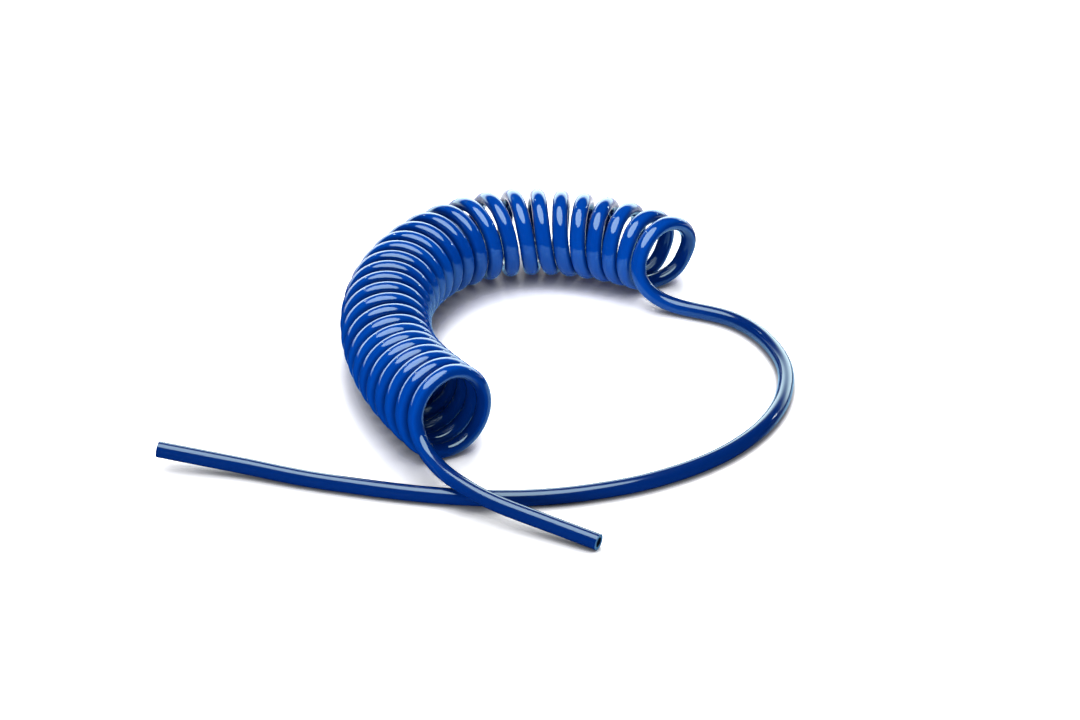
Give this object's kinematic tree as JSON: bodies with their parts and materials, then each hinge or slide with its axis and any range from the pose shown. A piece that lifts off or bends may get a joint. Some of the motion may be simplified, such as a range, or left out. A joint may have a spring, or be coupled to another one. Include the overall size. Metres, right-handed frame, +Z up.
{
  "type": "coiled air hose",
  "caption": "Recoil air hose of polyurethane tube: a springy coil lying in a C, with a long tail that crosses under a short tail, both cut square for push-in fittings.",
  "frame": {"origin": "on the floor that the hose lies on, under the centre of its bounding box", "axes": "+Z up from the floor; +X from the raised cut end of the long tail across to the far side of its loop; +Y from the short tail's cut end towards the back of the coil"},
  "size_m": [0.3128, 0.3047, 0.0491],
  "materials": {
    "tube": "glossy blue extruded polyurethane"
  },
  "bodies": {
    "coil": {"coil": "tube"},
    "long_side": {"long_tail": "tube", "long_end": "tube"},
    "short_side": {"short_tail": "tube", "short_end": "tube"}
  },
  "joints": [
    {"name": "long_pull", "type": "slide", "parent": "coil", "child": "long_side", "axis": [0.9962, -0.0872, 0], "range_m": [0, 0.25], "stiffness_N_per_m": 10, "deforming": ["coil"]},
    {"name": "short_pull", "type": "slide", "parent": "coil", "child": "short_side", "axis": [0.3714, -0.5571, 0.7428], "range_m": [0, 0.1], "stiffness_N_per_m": 20, "deforming": ["coil"]}
  ]
}
